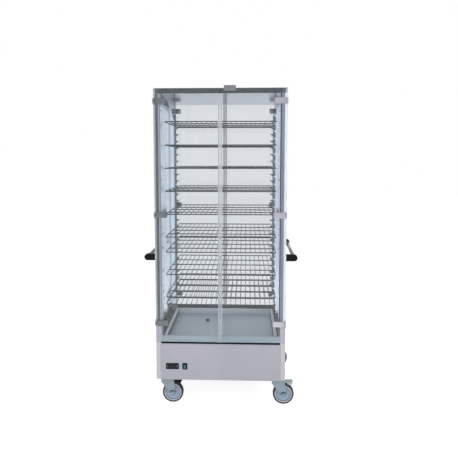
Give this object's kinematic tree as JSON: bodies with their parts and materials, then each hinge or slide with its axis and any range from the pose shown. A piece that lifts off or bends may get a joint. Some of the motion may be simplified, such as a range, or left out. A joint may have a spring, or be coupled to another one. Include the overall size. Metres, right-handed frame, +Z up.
{
  "type": "heated display cart",
  "caption": "Tall mobile heated display cabinet with glass doors front and rear, wire shelves on toothed uprights, a base with controls, push handles and swivel casters.",
  "frame": {"origin": "on the floor under the middle of the cart", "axes": "+X to the right seen from the front, -Y towards the front with the controls, +Z up"},
  "size_m": [0.902, 0.66, 1.882],
  "materials": {
    "stainless_sheet": "satin stainless sheet",
    "inner_sheet": "satin stainless sheet",
    "polished_sheet": "polished stainless sheet",
    "wire": "bright wire",
    "window_glass": "clear toughened glass",
    "black_rubber": "matt black rubber",
    "clear_seal": "milky clear strip",
    "hinge_steel": "satin",
    "bright_tube": "bright tube",
    "heater_steel": "heat-stained",
    "black_plastic": "black moulding",
    "key_plastic": "dark grey key",
    "green_rocker": "green lit rocker",
    "zinc_steel": "zinc plated",
    "wheel_rubber": "grey rubber tyre on a pale hub",
    "pedal_plastic": "black moulding"
  },
  "bodies": {
    "cabinet": {"base_front_panel": "stainless_sheet", "base_rear_panel": "stainless_sheet", "left_side_frame": "stainless_sheet", "right_side_frame": "stainless_sheet", "roof_cover": "stainless_sheet", "base_chassis": "inner_sheet", "floor_pan": "inner_sheet", "drip_tray": "inner_sheet", "shelf_uprights": "inner_sheet", "ceiling_liner": "polished_sheet", "wire_shelf_01": "wire", "wire_shelf_02": "wire", "wire_shelf_03": "wire", "wire_shelf_04": "wire", "wire_shelf_05": "wire", "wire_shelf_06": "wire", "wire_shelf_07": "wire", "wire_shelf_08": "wire", "wire_shelf_09": "wire", "wire_shelf_10": "wire", "side_panes": "window_glass", "pane_seals": "black_rubber", "door_gaskets": "black_rubber", "hinge_leaves": "hinge_steel", "handle_tubes": "bright_tube", "heating_element": "heater_steel", "handle_brackets": "black_plastic", "thermostat_case": "black_plastic", "switch_bezel": "black_plastic", "power_inlet": "black_plastic", "terminal_block": "black_plastic", "temperature_probe": "black_plastic", "caster_plates": "zinc_steel", "caster_bolts": "zinc_steel", "frame_screws": "zinc_steel"},
    "front_left_door": {"front_left_door_glass": "window_glass", "front_left_door_clamps": "hinge_steel", "front_left_door_seal": "clear_seal"},
    "front_right_door": {"front_right_door_glass": "window_glass", "front_right_door_clamps": "hinge_steel", "front_right_door_seal": "clear_seal"},
    "rear_left_door": {"rear_left_door_glass": "window_glass", "rear_left_door_clamps": "hinge_steel", "rear_left_door_seal": "clear_seal"},
    "rear_right_door": {"rear_right_door_glass": "window_glass", "rear_right_door_clamps": "hinge_steel", "rear_right_door_seal": "clear_seal"},
    "key_left": {"thermostat_key_left": "key_plastic"},
    "key_right": {"thermostat_key_right": "key_plastic"},
    "rocker": {"switch_rocker": "green_rocker"},
    "front_left_fork": {"front_left_caster_fork": "zinc_steel"},
    "front_left_wheel": {"front_left_caster_wheel": "wheel_rubber"},
    "front_left_pedal": {"front_left_brake_pedal": "pedal_plastic"},
    "front_right_fork": {"front_right_caster_fork": "zinc_steel"},
    "front_right_wheel": {"front_right_caster_wheel": "wheel_rubber"},
    "front_right_pedal": {"front_right_brake_pedal": "pedal_plastic"},
    "rear_left_fork": {"rear_left_caster_fork": "zinc_steel"},
    "rear_left_wheel": {"rear_left_caster_wheel": "wheel_rubber"},
    "rear_right_fork": {"rear_right_caster_fork": "zinc_steel"},
    "rear_right_wheel": {"rear_right_caster_wheel": "wheel_rubber"}
  },
  "joints": [
    {"name": "front_left_door_hinge", "type": "hinge", "parent": "cabinet", "child": "front_left_door", "pos_m": [-0.378, -0.325, 1.147], "axis": [0, 0, -1], "range_deg": [0, 170]},
    {"name": "front_right_door_hinge", "type": "hinge", "parent": "cabinet", "child": "front_right_door", "pos_m": [0.378, -0.325, 1.147], "axis": [0, 0, 1], "range_deg": [0, 170]},
    {"name": "rear_left_door_hinge", "type": "hinge", "parent": "cabinet", "child": "rear_left_door", "pos_m": [-0.378, 0.325, 1.147], "axis": [0, 0, 1], "range_deg": [0, 170]},
    {"name": "rear_right_door_hinge", "type": "hinge", "parent": "cabinet", "child": "rear_right_door", "pos_m": [0.378, 0.325, 1.147], "axis": [0, 0, -1], "range_deg": [0, 170]},
    {"name": "key_left_press", "type": "slide", "parent": "cabinet", "child": "key_left", "axis": [0, 1, 0], "range_m": [0, 0.0006], "stiffness_N_per_m": 600},
    {"name": "key_right_press", "type": "slide", "parent": "cabinet", "child": "key_right", "axis": [0, 1, 0], "range_m": [0, 0.0006], "stiffness_N_per_m": 600},
    {"name": "rocker_tilt", "type": "hinge", "parent": "cabinet", "child": "rocker", "pos_m": [-0.212, -0.309, 0.241], "axis": [1, 0, 0], "range_deg": [-14, 0]},
    {"name": "front_left_swivel", "type": "hinge", "parent": "cabinet", "child": "front_left_fork", "pos_m": [-0.333, -0.262, 0.15], "axis": [0, 0, 1], "continuous": true},
    {"name": "front_left_roll", "type": "hinge", "parent": "front_left_fork", "child": "front_left_wheel", "pos_m": [-0.29, -0.262, 0.0625], "axis": [0, 1, 0], "continuous": true},
    {"name": "front_left_brake", "type": "hinge", "parent": "front_left_fork", "child": "front_left_pedal", "pos_m": [-0.288, -0.262, 0.1372], "axis": [0, 1, 0], "range_deg": [0, 12]},
    {"name": "front_right_swivel", "type": "hinge", "parent": "cabinet", "child": "front_right_fork", "pos_m": [0.333, -0.262, 0.15], "axis": [0, 0, 1], "continuous": true},
    {"name": "front_right_roll", "type": "hinge", "parent": "front_right_fork", "child": "front_right_wheel", "pos_m": [0.376, -0.262, 0.0625], "axis": [0, 1, 0], "continuous": true},
    {"name": "front_right_brake", "type": "hinge", "parent": "front_right_fork", "child": "front_right_pedal", "pos_m": [0.378, -0.262, 0.1372], "axis": [0, 1, 0], "range_deg": [0, 12]},
    {"name": "rear_left_swivel", "type": "hinge", "parent": "cabinet", "child": "rear_left_fork", "pos_m": [-0.333, 0.262, 0.15], "axis": [0, 0, 1], "continuous": true},
    {"name": "rear_left_roll", "type": "hinge", "parent": "rear_left_fork", "child": "rear_left_wheel", "pos_m": [-0.29, 0.262, 0.0625], "axis": [0, 1, 0], "continuous": true},
    {"name": "rear_right_swivel", "type": "hinge", "parent": "cabinet", "child": "rear_right_fork", "pos_m": [0.333, 0.262, 0.15], "axis": [0, 0, 1], "continuous": true},
    {"name": "rear_right_roll", "type": "hinge", "parent": "rear_right_fork", "child": "rear_right_wheel", "pos_m": [0.376, 0.262, 0.0625], "axis": [0, 1, 0], "continuous": true}
  ]
}
